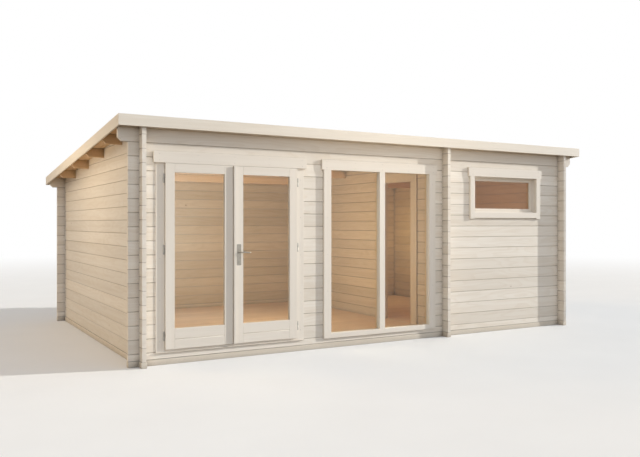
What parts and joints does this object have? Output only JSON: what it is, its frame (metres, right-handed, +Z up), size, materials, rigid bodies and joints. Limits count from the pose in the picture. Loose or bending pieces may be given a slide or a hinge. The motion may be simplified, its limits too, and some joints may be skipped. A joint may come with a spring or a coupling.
{
  "type": "log cabin",
  "caption": "Log cabin with two rooms, a glazed double door, a full-height fixed window, a small window and a single-pitch roof that is high at the front.",
  "frame": {"origin": "on the ground, under the middle of the roof's plan", "axes": "+X along the front to the right as seen from in front, +Y from the front to the back, +Z up"},
  "size_m": [6.64, 4.34, 2.5499],
  "materials": {
    "log_wood": "planed untreated spruce",
    "base_wood": "planed softwood beam",
    "floor_wood": "planed floor boards",
    "roof_wood": "planed roof boards and purlins",
    "roof_felt": "mineral roofing felt",
    "fascia_wood": "planed board",
    "trim_wood": "planed trim",
    "door_wood": "fine planed joinery",
    "clear_glass": "clear",
    "hinge_steel": "galvanised",
    "handle_steel": "satin"
  },
  "bodies": {
    "cabin": {"front_sill_log": "log_wood", "front_wall_left": "log_wood", "front_wall_middle": "log_wood", "front_wall_under_window": "log_wood", "front_wall_beside_window": "log_wood", "front_wall_over_openings": "log_wood", "front_top_log": "log_wood", "back_wall": "log_wood", "back_top_log": "log_wood", "left_wall": "log_wood", "right_wall": "log_wood", "partition_front": "log_wood", "partition_back": "log_wood", "partition_over": "log_wood", "base_long_beams": "base_wood", "base_cross_beams": "base_wood", "floor_joists": "base_wood", "floor_boards": "floor_wood", "roof_boards": "roof_wood", "purlin_1": "roof_wood", "purlin_2": "roof_wood", "purlin_3": "roof_wood", "purlin_4": "roof_wood", "roof_covering": "roof_felt", "fascia_front": "fascia_wood", "fascia_back": "fascia_wood", "fascia_left": "fascia_wood", "fascia_right": "fascia_wood", "doorway_sides": "trim_wood", "doorway_head_and_sill": "trim_wood", "door_jambs": "trim_wood", "door_frame_head": "trim_wood", "door_threshold": "trim_wood", "door_head_board": "trim_wood", "window_jambs": "trim_wood", "window_frame_rails": "trim_wood", "window_mullion": "trim_wood", "window_head_board": "trim_wood", "small_window_jambs": "trim_wood", "small_window_frame_rails": "trim_wood", "small_window_head_board": "trim_wood", "small_sash_stiles": "door_wood", "small_sash_rails": "door_wood", "window_glass": "clear_glass", "small_window_glass": "clear_glass", "hinge_pins": "hinge_steel"},
    "left_leaf": {"left_leaf_stiles": "door_wood", "left_leaf_rails": "door_wood", "left_leaf_glass": "clear_glass", "left_hinge_knuckles": "hinge_steel"},
    "right_leaf": {"right_leaf_stiles": "door_wood", "right_leaf_rails": "door_wood", "right_leaf_glass": "clear_glass", "right_hinge_knuckles": "hinge_steel", "handle_plates": "handle_steel"},
    "lever": {"handle_lever": "handle_steel"}
  },
  "joints": [
    {"name": "left_leaf_hinge", "type": "hinge", "parent": "cabin", "child": "left_leaf", "pos_m": [-2.821, -2.041, 1], "axis": [0, 0, -1], "range_deg": [0, 120]},
    {"name": "right_leaf_hinge", "type": "hinge", "parent": "cabin", "child": "right_leaf", "pos_m": [-1.25, -2.041, 1], "axis": [0, 0, 1], "range_deg": [0, 120]},
    {"name": "lever_turn", "type": "hinge", "parent": "right_leaf", "child": "lever", "pos_m": [-1.9855, -2.057, 1.148], "axis": [0, 1, 0], "range_deg": [0, 40], "stiffness_Nm_per_rad": 1, "springref_deg": -22.92}
  ]
}
